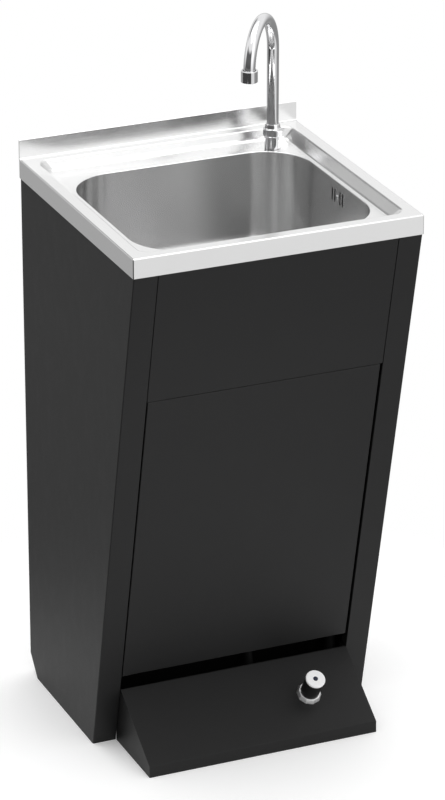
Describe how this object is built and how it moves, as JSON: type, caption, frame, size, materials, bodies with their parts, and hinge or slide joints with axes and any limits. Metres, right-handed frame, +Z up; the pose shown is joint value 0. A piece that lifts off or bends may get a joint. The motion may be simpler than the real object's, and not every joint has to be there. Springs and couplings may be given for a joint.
{
  "type": "portable handwash sink",
  "caption": "Free-standing hand-wash sink: stainless basin with gooseneck spout on a black cabinet with leaning front, access door and foot-operated pump button.",
  "frame": {"origin": "on the floor, under the middle of the basin's outline", "axes": "+Z up; the front with the door and foot button faces -Y; +X is the right-hand side seen from the front"},
  "size_m": [0.45, 0.45, 1.0625],
  "materials": {
    "stainless": "brushed",
    "chrome": "polished",
    "black_coat": "fine satin powder coat",
    "zinc": "zinc plated",
    "black_plastic": "moulded",
    "white_plastic": "moulded",
    "blue_plastic": "moulded",
    "natural_tank": "blow moulded",
    "grey_tank": "blow moulded",
    "rubber": "matt",
    "black_hose": "extruded",
    "grey_hose": "corrugated"
  },
  "bodies": {
    "cabinet": {"back_panel": "black_coat", "back_screw_1": "zinc", "back_screw_2": "zinc", "back_screw_3": "zinc", "back_screw_4": "zinc", "base_tray": "black_coat", "basin_bowl": "stainless", "basin_deck": "stainless", "door_catch": "black_plastic", "drain_flange": "chrome", "drain_gasket": "rubber", "drain_locknut": "black_plastic", "drain_strainer": "chrome", "drain_tailpiece": "black_plastic", "fascia_panel": "black_coat", "foot_box": "black_coat", "fresh_tank": "natural_tank", "fresh_tank_cap": "blue_plastic", "front_rail": "black_coat", "hinge_pivot_bottom": "zinc", "hinge_pivot_top": "zinc", "overflow_box": "black_plastic", "overflow_hose": "grey_hose", "overflow_screw": "chrome", "overflow_tail": "black_plastic", "pickup_pipe": "white_plastic", "pump_barrel": "black_plastic", "pump_inlet": "zinc", "pump_lock_ring": "chrome", "pump_outlet": "zinc", "pump_spring": "zinc", "side_panel_left": "black_coat", "side_panel_right": "black_coat", "suction_hose": "black_hose", "supply_hose": "black_hose", "tap_base": "chrome", "tap_collar": "chrome", "tap_gasket": "rubber", "tap_locknut": "zinc", "waste_hose": "grey_hose", "waste_inlet": "black_plastic", "waste_tank": "grey_tank", "waste_tank_cap": "black_plastic"},
    "door": {"front_door": "black_coat"},
    "foot_button": {"button_sleeve": "black_plastic", "button_cap": "white_plastic", "button_marker": "blue_plastic", "pump_plunger": "zinc"},
    "swivel_spout": {"spout": "chrome", "aerator_body": "chrome", "aerator_insert": "white_plastic", "aerator_screen": "zinc"}
  },
  "joints": [
    {"name": "door_hinge", "type": "hinge", "parent": "cabinet", "child": "door", "pos_m": [-0.1805, -0.06395, 0.11947], "axis": [0, 0.2169, -0.9762], "range_deg": [0, 95]},
    {"name": "button_press", "type": "slide", "parent": "cabinet", "child": "foot_button", "axis": [0, 0.5574, -0.8302], "range_m": [0, 0.01], "stiffness_N_per_m": 2000, "springref_m": -0.01, "deforming": ["pump_spring"]},
    {"name": "spout_swivel", "type": "hinge", "parent": "cabinet", "child": "swivel_spout", "pos_m": [0.158, 0.16, 0.855], "axis": [0, 0, 1], "range_deg": [-60, 60]}
  ]
}
